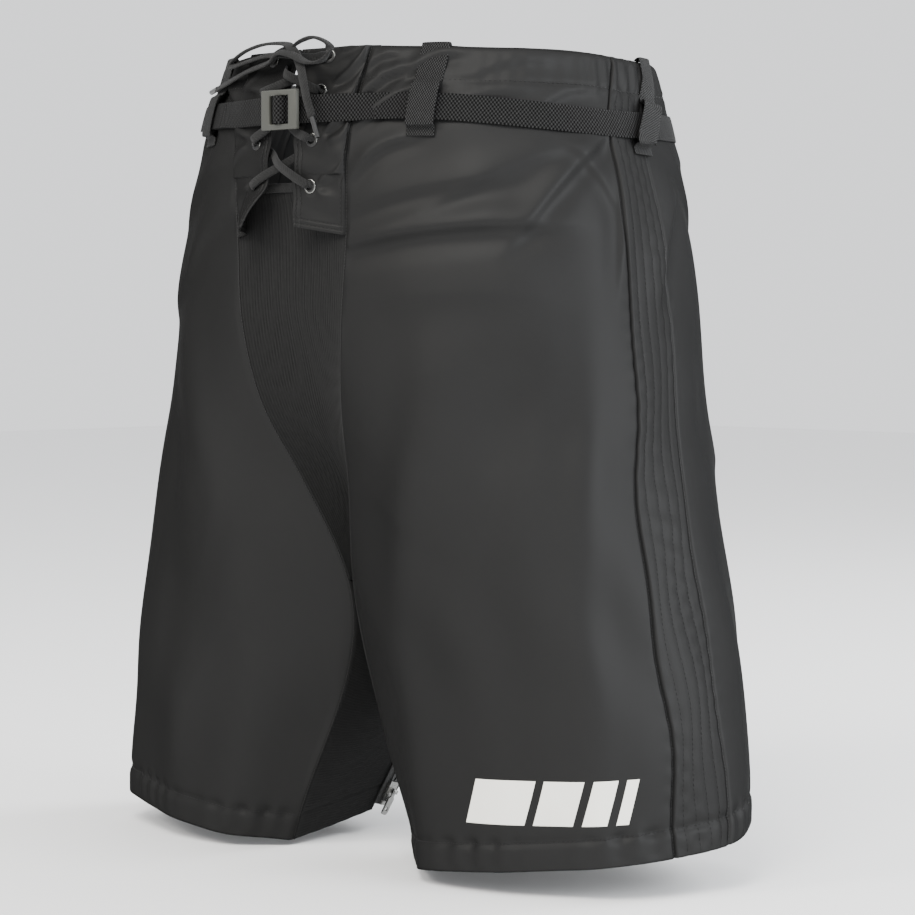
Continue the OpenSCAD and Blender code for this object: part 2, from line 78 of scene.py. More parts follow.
class Value:
    """A socket of a finish, so that patterns are written as sums and products."""

    def __init__(self, finish, socket):
        self.finish, self.socket = finish, socket

    def math(self, operation, *others):
        return self.finish.node("ShaderNodeMath", {"operation": operation}, [self, *others])

    def __add__(self, other):
        return self.math("ADD", other)

    def __mul__(self, other):
        return self.math("MULTIPLY", other)

    __radd__, __rmul__ = __add__, __mul__

    def wave(self, pitch):
        return (self * (2 * math.pi / pitch)).math("SINE")


class Finish:
    """One material: its shader's constant sockets are set here, and patterns are fed to it by name."""

    def __init__(self, name, **sockets):
        self.material = bpy.data.materials.new(name)
        self.material.use_nodes = True
        self.tree = self.material.node_tree
        self.shader = self.tree.nodes["Principled BSDF"]
        for socket, value in sockets.items():
            self.shader.inputs[socket.replace("_", " ")].default_value = value

    def node(self, kind, settings=None, inputs=(), output=0):
        made = self.tree.nodes.new(kind)
        for key, value in (settings or {}).items():
            setattr(made, key, value)
        for key, value in inputs.items() if isinstance(inputs, dict) else enumerate(inputs):
            if isinstance(value, Value):
                self.tree.links.new(value.socket, made.inputs[key])
            else:
                made.inputs[key].default_value = value
        return Value(self, made.outputs[output])

    def feed(self, socket, value):
        self.tree.links.new(value.socket, self.shader.inputs[socket])

    def place(self):
        return self.node("ShaderNodeTexCoord", output="Object")

    def cloth_place(self):
        """The place on the cloth in metres, then its two directions, across and along, by themselves."""
        uv = self.node("ShaderNodeUVMap", {"uv_map": "cloth"})
        parts = self.node("ShaderNodeSeparateXYZ", inputs=[uv])
        return uv, parts, Value(self, parts.socket.node.outputs[1])

    def noise(self, place, scale, detail=3):
        return self.node("ShaderNodeTexNoise", inputs={"Vector": place, "Scale": scale, "Detail": detail})

    def shades(self, factor, dark, light):
        colour = self.node("ShaderNodeMix", {"data_type": "RGBA"},
                           {"Factor": factor, 6: (*dark, 1), 7: (*light, 1)}, output=2)
        self.feed("Base Color", colour)

    def bump(self, height, strength, distance):
        self.feed("Normal", self.node("ShaderNodeBump", inputs={"Height": height, "Strength": strength,
                                                                 "Distance": distance}))


def grey(level):
    return (level, level, level)


def braided(name, level):
    finish = Finish(name, Roughness=0.8, Sheen_Weight=0.05, Sheen_Roughness=0.5, Specular_IOR_Level=0.1)
    uv, across, along = finish.cloth_place()
    chevrons = (along + across.math("ABSOLUTE") * 0.9).wave(1.5 * MM) * (across + along * 0.25).wave(1.1 * MM)
    wear = finish.noise(finish.place(), 260)
    finish.shades(chevrons * 0.35 + wear * 0.6, grey(level * 0.5), grey(level * 1.7))
    finish.bump(chevrons, 0.7, 0.25 * MM)
    return finish.material


def smooth_piece(name, points, faces):
    mesh = bpy.data.meshes.new(name)
    mesh.from_pydata(points.reshape(-1, 3).tolist(), [], faces)
    mesh.polygons.foreach_set("use_smooth", [True] * len(mesh.polygons))
    piece = bpy.data.objects.new(name, mesh)
    bpy.context.scene.collection.objects.link(piece)
    return piece


def ribbon_mesh(name, centre, facing, width, thick, sides=12):
    """A flat band along the points of centre, its face turned to facing, with round edges."""
    way = np.gradient(centre, axis=0)
    way /= np.linalg.norm(way, axis=1)[:, None]
    face = facing - (facing * way).sum(1)[:, None] * way
    face /= np.linalg.norm(face, axis=1)[:, None]
    side = np.cross(way, face)
    length = np.concatenate([[0], np.cumsum(np.linalg.norm(np.diff(centre, axis=0), axis=1))])
    turn = np.linspace(0, 2 * np.pi, sides, endpoint=False)
    across = np.sign(np.cos(turn)) * np.abs(np.cos(turn)) ** 0.6 * width / 2
    out = np.sign(np.sin(turn)) * np.abs(np.sin(turn)) ** 0.8 * thick / 2
    points = centre[:, None] + side[:, None] * across[None, :, None] + face[:, None] * out[None, :, None]
    rows, cols = points.shape[:2]
    index = np.arange(rows * cols).reshape(rows, cols)
    beside = np.roll(index, -1, 1)
    quads = np.stack([index[:-1], beside[:-1], beside[1:], index[1:]], -1).reshape(-1, 4).tolist()
    piece = smooth_piece(name, points, quads + [index[0][::-1].tolist(), index[-1].tolist()])
    loops = np.zeros(len(piece.data.loops), np.int32)
    piece.data.loops.foreach_get("vertex_index", loops)
    layer = piece.data.uv_layers.new(name="cloth")
    layer.data.foreach_set("uv", np.stack([across[loops % cols], length[loops // cols]], -1).ravel())
    return piece


def through(points, steps):
    """A smooth line through the points, as even steps between each two."""
    p = np.vstack([2 * points[0] - points[1], points, 2 * points[-1] - points[-2]])
    t = np.linspace(0, 1, steps, endpoint=False)[:, None]
    parts = [0.5 * (2 * b + (c - a) * t + (2 * a - 5 * b + 4 * c - d) * t ** 2 + (3 * b - a - 3 * c + d) * t ** 3)
             for a, b, c, d in zip(p[:-3], p[1:-2], p[2:-1], p[3:])]
    return np.vstack([*parts, points[-1:]])


# The route from the left free end to the right one, in millimetres, with how far the lace's face is turned
# from facing forward: it lies flat on the cloth and stands on edge in the loops of the bow.
lace_route = np.array([
    (37, -149, -6, 20), (33, -150, 6, 20), (26, -147, 20, 30), (14, -140, 33, 50), (5, -138, 41, 60),
    (-10, -131, 45, 75), (-34, -127, 46, 80), (-60, -121, 43, 70), (-79, -116, 37, 60), (-72, -120, 34, 60),
    (-52, -125, 36, 60), (-28, -130, 38, 60), (-8, -135, 37, 60), (3, -134, 36, 50), (15, -129, 34.5, 20),
    (24, -128, 35, 0), (27, -124, 35, 0), (26, -119, 32, 0), (15, -122, 24, 0), (0, -133, 20, 0),
    (-14, -136, 16, 0), (-26, -136, 13, 0), (-27, -131, 12, 0), (-26, -126, 8, 0), (-14, -130, -2, 0),
    (0, -138, -6, 0), (14, -142.5, -14, 0), (25, -144.5, -18, 0), (27, -140, -20, 0), (25, -135, -23, 0),
    (13, -137, -29, 0), (0, -140, -35, 0), (-14, -145, -42, 0), (-25, -145.5, -48, 0), (-27, -141, -50, 0),
    (-24, -136, -50, 0), (0, -135, -50, 0), (24, -136, -50, 0), (27, -141, -50, 0), (25, -145.5, -48, 0),
    (14, -147, -42, 0), (0, -145, -35, 0), (-13, -138, -28, 0), (-25, -135, -23, 0), (-27, -140, -20, 0),
    (-25, -144.5, -18, 0), (-14, -143.5, -12, 0), (0, -143, -4, 0), (14, -131, 0, 0), (26, -126, 8, 0),
    (27, -131, 12, 0), (26, -136, 13, 0), (14, -137, 18, 0), (0, -138, 24, 0), (-13, -126, 28, 0),
    (-26, -119, 32, 0), (-27, -124, 35, 0), (-24, -128, 36, 0), (-12, -131, 40, 30), (0, -134, 41, 50),
    (14, -137, 45, 80), (30, -140, 46, 90), (43, -139, 40, 90), (40, -142, 31, 90), (26, -143, 30, 80),
    (10, -142, 36, 60), (-4, -141, 38, 60), (-20, -135, 33, 50), (-49, -128, 29, 50), (-76, -120, 24, 40),
    (-100, -110, 21, 40)], float)
lace_steps = 8
lace_line = through(lace_route, lace_steps)
lace_path = lace_line[:, :3] * MM
lace_turn = np.radians(lace_line[:, 3:])
lace_facing = np.hstack([0 * lace_turn, -np.cos(lace_turn), np.sin(lace_turn)])
lace_width, lace_thick = 6.2 * MM, 2.1 * MM
lace = ribbon_mesh("fly_lace", lace_path, lace_facing, lace_width, lace_thick)
lace.data.materials.append(braided("braided_lace", 0.016))
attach(lace, "shell")
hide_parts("lace")
lace_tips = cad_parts["lace_tips"]
tip_finish = Finish("lace_tip_film", Roughness=0.3, Base_Color=(*grey(0.012), 1))
tip_finish.bump(tip_finish.noise(tip_finish.place(), 900), 0.15, 0.1 * MM)
lace_tips.data.materials.clear()
lace_tips.data.materials.append(tip_finish.material)


# Front panels: plain-woven coated nylon, one piece from the fly round to the side seam on each leg.
# The cloth hangs from the drawn-in waist, so it carries slanting pulls under the belt and long soft folds
# down the leg; its seams are drawn in and its hem is turned up and stitched.
rim_z, hem_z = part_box("front_panel_left")[1].z / MM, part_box("front_panel_left")[0].z / MM
waist_half_w = 172
trunk = np.array([(hem_z, waist_half_w + 78, 150, 140), (-289, waist_half_w + 52, 160, 152),
                  (-206, waist_half_w + 40, 160, 152), (-123, waist_half_w + 28, 157, 150),
                  (-60, waist_half_w + 16, 150, 146), (0, waist_half_w, 142, 138),
                  (rim_z, waist_half_w - 9, 126, 122)], float)
front_edge = np.array([(hem_z, 62, -76), (-312, 1.5, -80), (-242, 22, -104), (-196, 37, -124), (-143, 47, -134),
                       (-85, 52, -134), (-20, 54, -133), (rim_z, 57, -115)], float)
back_edge = np.array([(-486, 67, 10), (-400, 36, 38), (-340, 14.4, 57.5), (-300, 0, 84), (-260, 0, 120),
                      (-206, 0, 150), (-123, 0, 150), (-60, 0, 146), (0, 0, 138), (rim_z, 0, 122)], float)
hem_line = np.array([(0, hem_z), (0.2, -486), (0.35, -478), (0.45, -473), (0.63, -462), (0.8, -464),
                     (0.92, -472), (1, -484)], float)
rim_line = np.array([(0, rim_z), (0.2, rim_z - 3), (0.32, rim_z - 4), (0.5, rim_z - 8), (0.75, rim_z - 6),
                     (1, rim_z - 4)], float)
half_girth = 460.0
leg_middle, leg_radii, leg_turns, leg_heights = (104, 124), (106, 92), (198, -115), (-190, -490)
seam_reach = 0.3


def ease(a, b, x):
    t = np.clip((x - a) / (b - a), 0, 1)
    return t * t * (3 - 2 * t)


def mix(a, b, t):
    return a + (b - a) * t


def curve(table, key):
    """The smooth curve through a table's rows, at each key: its columns after the first."""
    keys, rows = table[:, 0], table[:, 1:]
    x = np.clip(key, keys[0], keys[-1])
    i = np.clip(np.searchsorted(keys, x, side="right") - 1, 0, len(keys) - 2)
    gap = np.diff(keys)[:, None]
    rise = np.diff(rows, axis=0) / gap
    slope = np.vstack([rise[:1], (rise[:-1] * gap[1:] + rise[1:] * gap[:-1]) / (gap[1:] + gap[:-1]), rise[-1:]])
    t, h = ((x - keys[i]) / np.diff(keys)[i])[..., None], gap[i]
    return ((2 * t ** 3 - 3 * t ** 2 + 1) * rows[i] + (t ** 3 - 2 * t ** 2 + t) * h * slope[i]
            + (3 * t ** 2 - 2 * t ** 3) * rows[i + 1] + (t ** 3 - t ** 2) * h * slope[i + 1])


def ring_point(u, z):
    """The level outline of one half at a height: an oval round the trunk that turns into one round the leg."""
    half_w, front, back = np.moveaxis(curve(trunk, z), -1, 0)
    start = -np.arccos(np.clip(curve(front_edge, z)[..., 0] / half_w, -1, 1))
    a = mix(start, np.pi / 2, u)
    body = np.stack([half_w * np.cos(a), np.where(a < 0, front, back) * np.sin(a)], -1)
    b = np.radians(mix(*leg_turns, u))
    p, q = leg_middle[0] + leg_radii[0] * np.cos(b), leg_middle[1] + leg_radii[1] * np.sin(b)
    leg = np.stack([p + q, p - q], -1) / math.sqrt(2)
    return mix(body, leg, ease(*leg_heights, z)[..., None])


def height(u, t):
    """The height of a place round the half, for t from rim (0) to hem (1)."""
    return mix(curve(rim_line, u)[..., 0], curve(hem_line, u)[..., 0], t)


def share_down(u, z):
    """How far down from rim (0) to hem (1) a height lies."""
    top = curve(rim_line, u)[..., 0]
    return (top - z) / (top - curve(hem_line, u)[..., 0])


def shell(u, t):
    """The plain shape of one half in millimetres: u round from the fly (0) to the centre back (1), t down."""
    z = height(u, t)
    # The outline bends over to meet the front and back seams
    near_front, near_back = (np.clip(1 - gap / seam_reach, 0, 1)[..., None] ** 2 for gap in (u, 1 - u))
    p = (ring_point(u, z) + near_front * (curve(front_edge, z) - ring_point(0 * u, z))
         + near_back * (curve(back_edge, z) - ring_point(0 * u + 1, z)))
    return np.concatenate([p, z[..., None]], -1)


def outward(surface, u, t, step=0.004):
    """The unit way out of a surface."""
    along = surface(np.minimum(u + step, 1), t) - surface(np.maximum(u - step, 0), t)
    down = surface(u, np.minimum(t + step, 1)) - surface(u, np.maximum(t - step, 0))
    n = np.cross(down, along)
    return n / np.linalg.norm(n, axis=-1)[..., None]


# Pulls in the cloth of each half: side, start and end as distance round from the fly and height, width, rise
pulls = [
    (1, 0, -88, 128, -75, 8, 5.0), (1, 114, -80, 178, -20, 7, 3.4), (1, 0, -66, 100, -46, 8, 2.0),
    (1, 60, -62, 150, -26, 8, 2.2), (1, 8, -40, 44, -20, 4.5, 3.0), (1, 0, -128, 120, -120, 14, 1.4),
    (1, 2, 4, 34, 26, 4, 3.6), (1, 12, -6, 56, 14, 4, 3.4), (1, 34, 20, 66, 34, 4, 3.0), (1, 0, 24, 24, 34, 3, 2.0),
    (1, 60, -4, 120, 10, 5, 1.8), (1, 80, 20, 140, 30, 5, 1.4), (1, 130, 0, 176, 12, 5, 1.6),
    (1, 150, -24, 182, -60, 7, 2.0), (1, 186, -16, 182, -110, 7, 2.2), (1, 250, -20, 330, -80, 12, 2.4),
    (1, 300, -30, 390, -60, 10, 2.0), (1, 360, -260, 440, -330, 16, 3.0), (1, 330, -230, 430, -270, 14, 2.4),
    (1, 30, -250, 110, -300, 18, 1.4), (1, 216, -120, 250, -60, 10, 2.4), (1, 20, -180, 150, -160, 18, 1.2),
    (-1, 4, -60, 60, -96, 9, 2.6), (-1, 20, -30, 90, -64, 8, 2.2), (-1, 60, -100, 150, -150, 14, 2.0),
    (-1, 10, 8, 44, 22, 5, 2.6), (-1, 30, -8, 70, 10, 5, 2.2), (-1, 250, -20, 330, -80, 12, 2.4),
    (-1, 300, -30, 390, -60, 10, 2.0), (-1, 370, -260, 440, -320, 16, 3.0), (-1, 20, -200, 70, -300, 18, 2.0),
    (-1, 100, -20, 160, -60, 10, 1.8), (-1, 50, -330, 90, -430, 16, 1.6)]
# Long folds down each leg: side, distance round from the fly at the hip and at the hem, width, rise
long_folds = [(1, 62, 50, 16, 4.2), (1, 108, 118, 18, -4.4), (1, 150, 160, 13, 3.6), (1, 275, 290, 30, -4.0),
              (1, 340, 352, 26, 4.0), (1, 400, 410, 22, -3.0), (-1, 50, 44, 18, 4.2), (-1, 96, 104, 18, -4.2),
              (-1, 140, 150, 15, 3.8), (-1, 270, 286, 28, -4.0), (-1, 335, 350, 26, 4.0), (-1, 398, 408, 22, -3.0)]
strip_front = (0.40, 0.43)
strip_back = (0.485, 0.505)
strip_rows = 5
hem_turn, casing_turn = 18, 22


def strip_line(k, t):
    """Place round the half of row k of the side strip, from its front seam (0) to its rear seam (1)."""
    sway = 0.0028 * np.sin(31 * t + 4 * k) * ease(0.15, 0.5, t)
    return mix(mix(*strip_front, t), mix(*strip_back, t), k) + 0.03 * ease(0.10, 0.0, t) + sway


def lift(side, u, t):
    """How far the cloth stands out from its plain shape, in millimetres."""
    z, s = height(u, t), u * half_girth
    rise = 0 * z
    for which, s0, z0, s1, z1, width, amount in pulls:
        if which == side:
            reach = math.hypot(s1 - s0, z1 - z0)
            ax, az = (s1 - s0) / reach, (z1 - z0) / reach
            along, off = (s - s0) * ax + (z - z0) * az, (z - z0) * ax - (s - s0) * az
            off = off - 4 * np.sin(along / reach * np.pi)
            ends = ease(-0.35, 0.3, along / reach) * (1 - ease(0.7, 1.35, along / reach))
            # Each pull swells slowly from above and breaks off sharply below its crest
            crest = np.exp(-(off / np.where(off > 0, 1.7 * width, 0.5 * width)) ** 2)
            rise = rise + amount * ends * (crest - 0.4 * np.exp(-((off + 1.3 * width) / width) ** 2))
    for which, s0, s1, width, amount in long_folds:
        if which == side:
            off = s - mix(s0, s1, t) - 5 * np.sin(t * 6 + s0)
            rise = rise + amount * ease(-110, -230, z) * np.exp(-(off / width) ** 2)
    # Slow unevenness of cloth that has been packed flat
    rise = rise + 0.7 * np.sin(s / 23 + z / 41 + side) * np.sin(z / 33 - s / 57) + 0.35 * np.sin(s / 9 + z / 27)
    rise = rise + 1.7 * ease(-130, -240, z) * np.sin(s / 13 + 1.7 * np.sin(z / 47 + side)) * np.sin(z / 50 + s / 31)
    # The hem: a doubled edge with a stitched line above it, puckered between the stitches
    above = z - curve(hem_line, u)[..., 0]
    pucker = np.sin(s / 2.3 + 1.7 * np.sin(s / 19)) * (0.5 + 0.5 * np.sin(s / 13 + side))
    rise = rise + 0.9 * ease(hem_turn + 1, hem_turn - 3, above)
    rise = rise + (1.1 * pucker - 1.2) * np.exp(-((above - hem_turn) / 3.2) ** 2)
    rise = rise + 0.9 * pucker * ease(0, 6, above) * ease(hem_turn + 14, hem_turn - 4, above)
    # The casing at the waist: a stitched line below the rim, gathered where the elastic runs
    below = curve(rim_line, u)[..., 0] - z
    gather = np.sin(s / 2.1 + 1.3 * np.sin(s / 15)) * mix(0.25, 1.0, ease(0.3, 0.5, u))
    rise = rise + 0.8 * gather * ease(34, 20, below) * ease(0, 6, below)
    rise = rise - 0.8 * np.exp(-((below - casing_turn) / 1.2) ** 2)
    rise = rise - 1.6 * ease(3.5, 0, below) ** 2
    # The side strip: rows of stitching that draw the cloth into short cross puckers
    for k in np.linspace(0, 1, strip_rows + 1):
        off = (u - strip_line(k, t)) * half_girth
        seam, width = {0: (2.6, 1.0), 1: (1.2, 1.2)}.get(k, (0.35, 1.3))
        rise = rise - seam * np.exp(-(off / width) ** 2)
        cross = np.sin(z / 2.4 + 2.2 * np.sin(z / 23 + 3 * k) + 9 * k) * (0.5 + 0.5 * np.sin(z / 37 + 5 * k))
        rise = rise + 0.32 * cross * np.exp(-(off / 5) ** 2)
    # The seams at the fly, the inner leg and the centre back stay where they are sewn
    rise = rise * ease(0, 5, s) * mix(ease(0, 5, (1 - u) * half_girth), 1, ease(-300, -260, z))
    return rise - 1.3 * np.exp(-((1 - u) * half_girth / 1.4) ** 2) - 0.8 * np.exp(-(s / 0.8) ** 2)


def draped(side, u, t, out=0.0):
    """A point of one half's cloth in metres, out millimetres off its outer face."""
    p = shell(u, t) + outward(shell, u, t) * (lift(side, u, t) + out)[..., None]
    return p * (side * MM, MM, MM)


def stitch_row(line, out, pitch=3.2, length=2.3, width=0.42):
    """Vertices and faces of a row of lock stitches along a line in metres, out being the way off the cloth."""
    reach = np.concatenate([[0], np.cumsum(np.linalg.norm(np.diff(line, axis=0), axis=1))]) / MM
    starts = np.arange(0.5, reach[-1] - length, pitch)
    spots = starts[:, None] + np.array([0, 0.25, 0.75, 1]) * length

    def at(table):
        return np.stack([np.interp(spots, reach, table[:, k]) for k in range(3)], -1)
    centre, up = at(line), at(out)
    way = centre[:, -1:] - centre[:, :1]
    side = np.cross(way, up)
    side /= np.linalg.norm(side, axis=-1)[..., None]
    size = np.array([0.25, 1, 1, 0.25])[None, :, None, None] * width * MM / 2
    turn = np.linspace(0, 2 * np.pi, 6, endpoint=False)
    arch = np.array([-0.1, 0.22, 0.22, -0.1])[None, :, None, None] * MM
    rings = (centre[:, :, None] + up[:, :, None] * arch
             + size * (side[:, :, None] * np.cos(turn)[:, None] + up[:, :, None] * np.sin(turn)[:, None]))
    index = np.arange(rings[..., 0].size).reshape(rings.shape[:3])
    beside = np.roll(index, -1, 2)
    body = np.stack([index[:, :-1], beside[:, :-1], beside[:, 1:], index[:, 1:]], -1)
    caps = [list(map(int, c)) for c in np.vstack([index[:, 0, ::-1], index[:, -1]])]
    return rings.reshape(-1, 3), body.reshape(-1, 4).tolist() + caps


# The same dark finish serves the rows of stitches and the dark lines laid in the seams as painted shade.
thread = Finish("bonded_thread_and_seam_shade", Roughness=0.6, Specular_IOR_Level=0.3)
thread.shades(thread.noise(thread.place(), 800), grey(0.003), grey(0.008))


def sew(name, rows, slot="shell_cloth", width=0.5, pitch=3.2):
    """One piece made of several rows of stitches, each given as its line and outward ways."""
    points, faces, count = [], [], 0
    for line, out in rows:
        made, quads = stitch_row(line, out, pitch, width=width)
        points.append(made)
        faces += [[k + count for k in face] for face in quads]
        count += len(made)
    piece = smooth_piece(name, np.vstack(points), faces)
    piece.data.materials.append(thread.material)
    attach(piece, "shell")


def draped_row(side, u, t):
    """A line on one half's cloth with its outward ways, for a row of stitches."""
    low, high = draped(side, u, t, 0.05), draped(side, u, t, 1.05)
    return low, (high - low) / MM


def cloth_piece(name, points, thickness, material, flip=False):
    """A sheet from a grid of points, rows down and columns across, given its thickness inwards."""
    if flip:
        points = points[:, ::-1]
    rows, cols = points.shape[:2]
    across = np.linalg.norm(np.diff(points, axis=1), axis=-1).mean(0)
    down = np.linalg.norm(np.diff(points, axis=0), axis=-1).mean(1)
    uv = np.stack(np.meshgrid(np.r_[0, np.cumsum(across)], -np.r_[0, np.cumsum(down)]), -1)
    index = np.arange(rows * cols).reshape(rows, cols)
    quads = np.stack([index[:-1, :-1], index[1:, :-1], index[1:, 1:], index[:-1, 1:]], -1).reshape(-1, 4)
    piece = smooth_piece(name, points, quads.tolist())
    layer = piece.data.uv_layers.new(name="cloth")
    layer.data.foreach_set("uv", uv.reshape(-1, 2)[quads.ravel()].ravel())
    thick = piece.modifiers.new("thickness", "SOLIDIFY")
    thick.thickness, thick.offset = thickness, -1
    bpy.ops.object.select_all(action="DESELECT")
    bpy.context.view_layer.objects.active = piece
    piece.select_set(True)
    bpy.ops.object.modifier_apply(modifier="thickness")
    piece.data.materials.append(material)
    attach(piece, "shell")
    return piece


def flat_area(points):
    """The area of a sheet from its grid of points, in square metres."""
    a, b = points[1:, :-1] - points[:-1, :-1], points[:-1, 1:] - points[:-1, :-1]
    return float(np.linalg.norm(np.cross(a, b), axis=-1).sum())


def sew_sheet(points):
    """Works out the box of a piece's flat shape and its area, the sheet that it was cut from, and keeps neither."""
    wide = float(np.linalg.norm(np.diff(points, axis=1), axis=-1).sum(1).max())
    tall = float(np.linalg.norm(np.diff(points, axis=0), axis=-1).sum(0).max())
    round(min(flat_area(points), wide * tall), 4)


def woven_nylon(name, level, roughness=0.45, lustre=0.4):
    """Plain weave of fine filament yarn under a thin coating: a faint grid, slubs and a soft lustre."""
    # The filaments' own dark lustre stands in for a clear surface, so that the cloth doesn't whiten at its edges
    finish = Finish(name, Metallic=lustre, Specular_IOR_Level=0.0, Specular_Tint=(0.12, 0.12, 0.12, 1))
    uv, across, down = finish.cloth_place()
    yarn = 0.55 * MM
    grid = across.wave(yarn) * down.wave(yarn)
    cloudy = finish.noise(finish.place(), 9, 4)
    slubs = finish.noise(finish.node("ShaderNodeMapping", inputs={"Vector": uv, "Scale": (1, 14, 1)}), 160, 2)
    finish.shades(cloudy * 0.55 + slubs * 0.3 + grid * 0.08, grey(level * 0.8), grey(level * 1.25))
    finish.feed("Roughness", cloudy * 0.12 + slubs * 0.08 + (roughness - 0.1))
    finish.bump(grid * 0.5 + slubs * 0.5, 0.22, 0.12 * MM)
    return finish.material


def panel_grid(side, first, last, across, down):
    """Points of a panel between two seams, each given as its place round the half for t from rim to hem."""
    t = np.linspace(0, 1, down)[:, None] * np.ones((1, across))
    # Columns crowd toward the seams, where the cloth turns most sharply
    share = 0.5 - 0.5 * np.cos(np.pi * np.linspace(0, 1, across))
    u = mix(first(t), last(t), share[None, :] * np.ones_like(t))
    return draped(side, u, t)


shell_cloth = woven_nylon("woven_nylon_front", 0.021)
cloth_thick = 0.9 * MM
# Dark stitches laid end to end, as painted shade: one unbroken dark line in the bottom of a seam's groove.
seam_shadow_line = {"width": 0.9, "pitch": 2.1}
sides = (("left", 1), ("right", -1))
for word, side in sides:
    points = panel_grid(side, lambda t: 0 * t, lambda t: strip_line(0, t), 130, 280)
    panel = cloth_piece(f"front_panel_cloth_{word}", points, cloth_thick, shell_cloth, flip=side < 0)
    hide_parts(f"front_panel_{word}")
    sew_sheet(points)
    # The hem and the casing are stitched all the way round each half
    u = np.linspace(0.006, 0.99, 900)
    rows = [draped_row(side, u, 1 - hem_turn / (curve(rim_line, u) - curve(hem_line, u))[..., 0]),
            draped_row(side, u, casing_turn / (curve(rim_line, u) - curve(hem_line, u))[..., 0])]
    sew(f"hem_and_casing_stitches_{word}", rows)
    # A dark line of close stitches runs in the seam beside the fly, as painted shade for the shadow in that seam.
    t = np.linspace(0.002, 0.998, 900)
    sew(f"front_seam_shadow_line_{word}", [draped_row(side, 0 * t + 0.0012, t)], **seam_shadow_line)


# Side strips: a narrow panel down the outside of each leg, crossed by no seam but held by rows of
# lengthwise stitching over a stiffener, which draw it into short puckers.
side_cloth = woven_nylon("woven_nylon_side", 0.022)
for word, side in sides:
    points = panel_grid(side, lambda t: strip_line(0, t), lambda t: strip_line(1, t), 56, 320)
    panel = cloth_piece(f"side_strip_cloth_{word}", points, cloth_thick, side_cloth, flip=side < 0)
    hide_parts(f"side_strip_{word}")
    sew_sheet(points)
    t = np.linspace(0.05, 0.998, 900)
    sew(f"side_strip_stitches_{word}", [draped_row(side, strip_line(k, t), t)
                                        for k in np.linspace(0, 1, strip_rows + 1)[1:-1]], "side_cloth", 0.3)
    # The two seams of the strip hold a close run of dark stitching along the bottom of their grooves, laid end to
    # end as painted shade for the shadow in each seam
    t = np.linspace(0.004, 0.998, 900)
    sew(f"side_seam_shadow_lines_{word}", [draped_row(side, strip_line(k, t), t) for k in (0, 1)],
        "side_cloth", **seam_shadow_line)


# Back panels: the same nylon, joined to each other by a centre seam down to the crotch and, below it, to
# the inner leg gusset, where the zip is let into the seam.
slot_w = 8
back_cloth = woven_nylon("woven_nylon_back", 0.024)


def zip_slot(z):
    """How far the cloth is cut back for the zip, in millimetres."""
    return slot_w * ease(-350, -360, z)


for word, side in sides:
    def rear(t):
        z = height(0 * t + 1, t)
        speed = np.linalg.norm(shell(0 * t + 0.995, t) - shell(0 * t + 0.985, t), axis=-1)
        return 1 - 0.01 * zip_slot(z) / speed
    points = panel_grid(side, lambda t: strip_line(1, t), rear, 150, 280)
    panel = cloth_piece(f"back_panel_cloth_{word}", points, cloth_thick, back_cloth, flip=side < 0)
    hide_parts(f"back_panel_{word}")
    sew_sheet(points)


# Gusset: a ribbed stretch knit, one panel at the fly with its ribs upright and one down each inner leg with
# its ribs across. It is set back between the nylon panels and hollows a little over the crotch.
crotch = np.array([(0, 84, -300), (1.5, -80, -312)], float)
rib, gusset_top = 2.1, -52


def ribbed_knit(name, rib_axis):
    finish = Finish(name, Roughness=0.92, Sheen_Weight=0.02, Sheen_Roughness=0.6, Specular_IOR_Level=0.03)
    uv, across, down = finish.cloth_place()
    ribs = (across if rib_axis == 0 else down).wave(rib * MM)
    loops = (down if rib_axis == 0 else across).wave(0.7 * MM) * 0.3
    lint = finish.noise(finish.place(), 420, 3)
    finish.shades(ribs * 0.15 + loops * 0.2 + lint * 0.5 + 0.05, grey(0.008), grey(0.021))
    finish.bump(ribs + loops, 0.3, 0.2 * MM)
    return finish.material


def ribs_of(distance):
    return 0.16 * np.sin(2 * np.pi * distance / rib)


t = np.linspace(0, 1, 130)[:, None] * np.ones((1, 220))
w = np.linspace(-1, 1, 220)[None, :] * np.ones_like(t)
z = mix(gusset_top, crotch[1, 2], t)
edge = curve(front_edge, z)
hollow = 6 * ease(gusset_top, -120, z) + 12 * ease(-120, -260, z) * (1 - ease(-270, -312, z))
hollow = hollow + 1.5 * np.sin(z / 15 + 2 * w) * (1 - w * w) - 0.9 * ease(-58.5, -57.8, z)
x = w * edge[..., 0]
points = np.stack([x, edge[..., 1] + hollow * (1 - w * w) + ribs_of(x) * (1 - w ** 8) + 0.6, z], -1) * MM
gusset = cloth_piece("front_gusset_knit", points, cloth_thick, ribbed_knit("ribbed_knit_upright", 0))
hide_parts("front_gusset")
sew_sheet(points)


def on_edge(table, z):
    return np.concatenate([curve(table, z), z[..., None]], -1)


def inner_leg(a, t):
    """The inner leg between the zip line (a = 0) and the front seam (1), from the crotch to the hem."""
    foot = [on_edge(back_edge, 0 * a + hem_line[-1, 1]), on_edge(front_edge, 0 * a + hem_line[0, 1])]
    left = on_edge(back_edge, mix(crotch[0, 2], hem_line[-1, 1], t))
    right = on_edge(front_edge, mix(crotch[1, 2], hem_line[0, 1], t))
    a, t = a[..., None], t[..., None]
    top = mix(crotch[0], crotch[1], a)
    sagged = top - np.array([0, 0, 25]) * (1 - (2 * a - 1) ** 2)
    return mix(sagged, mix(*foot, a), t) + mix(left, right, a) - mix(top, mix(*foot, a), t)


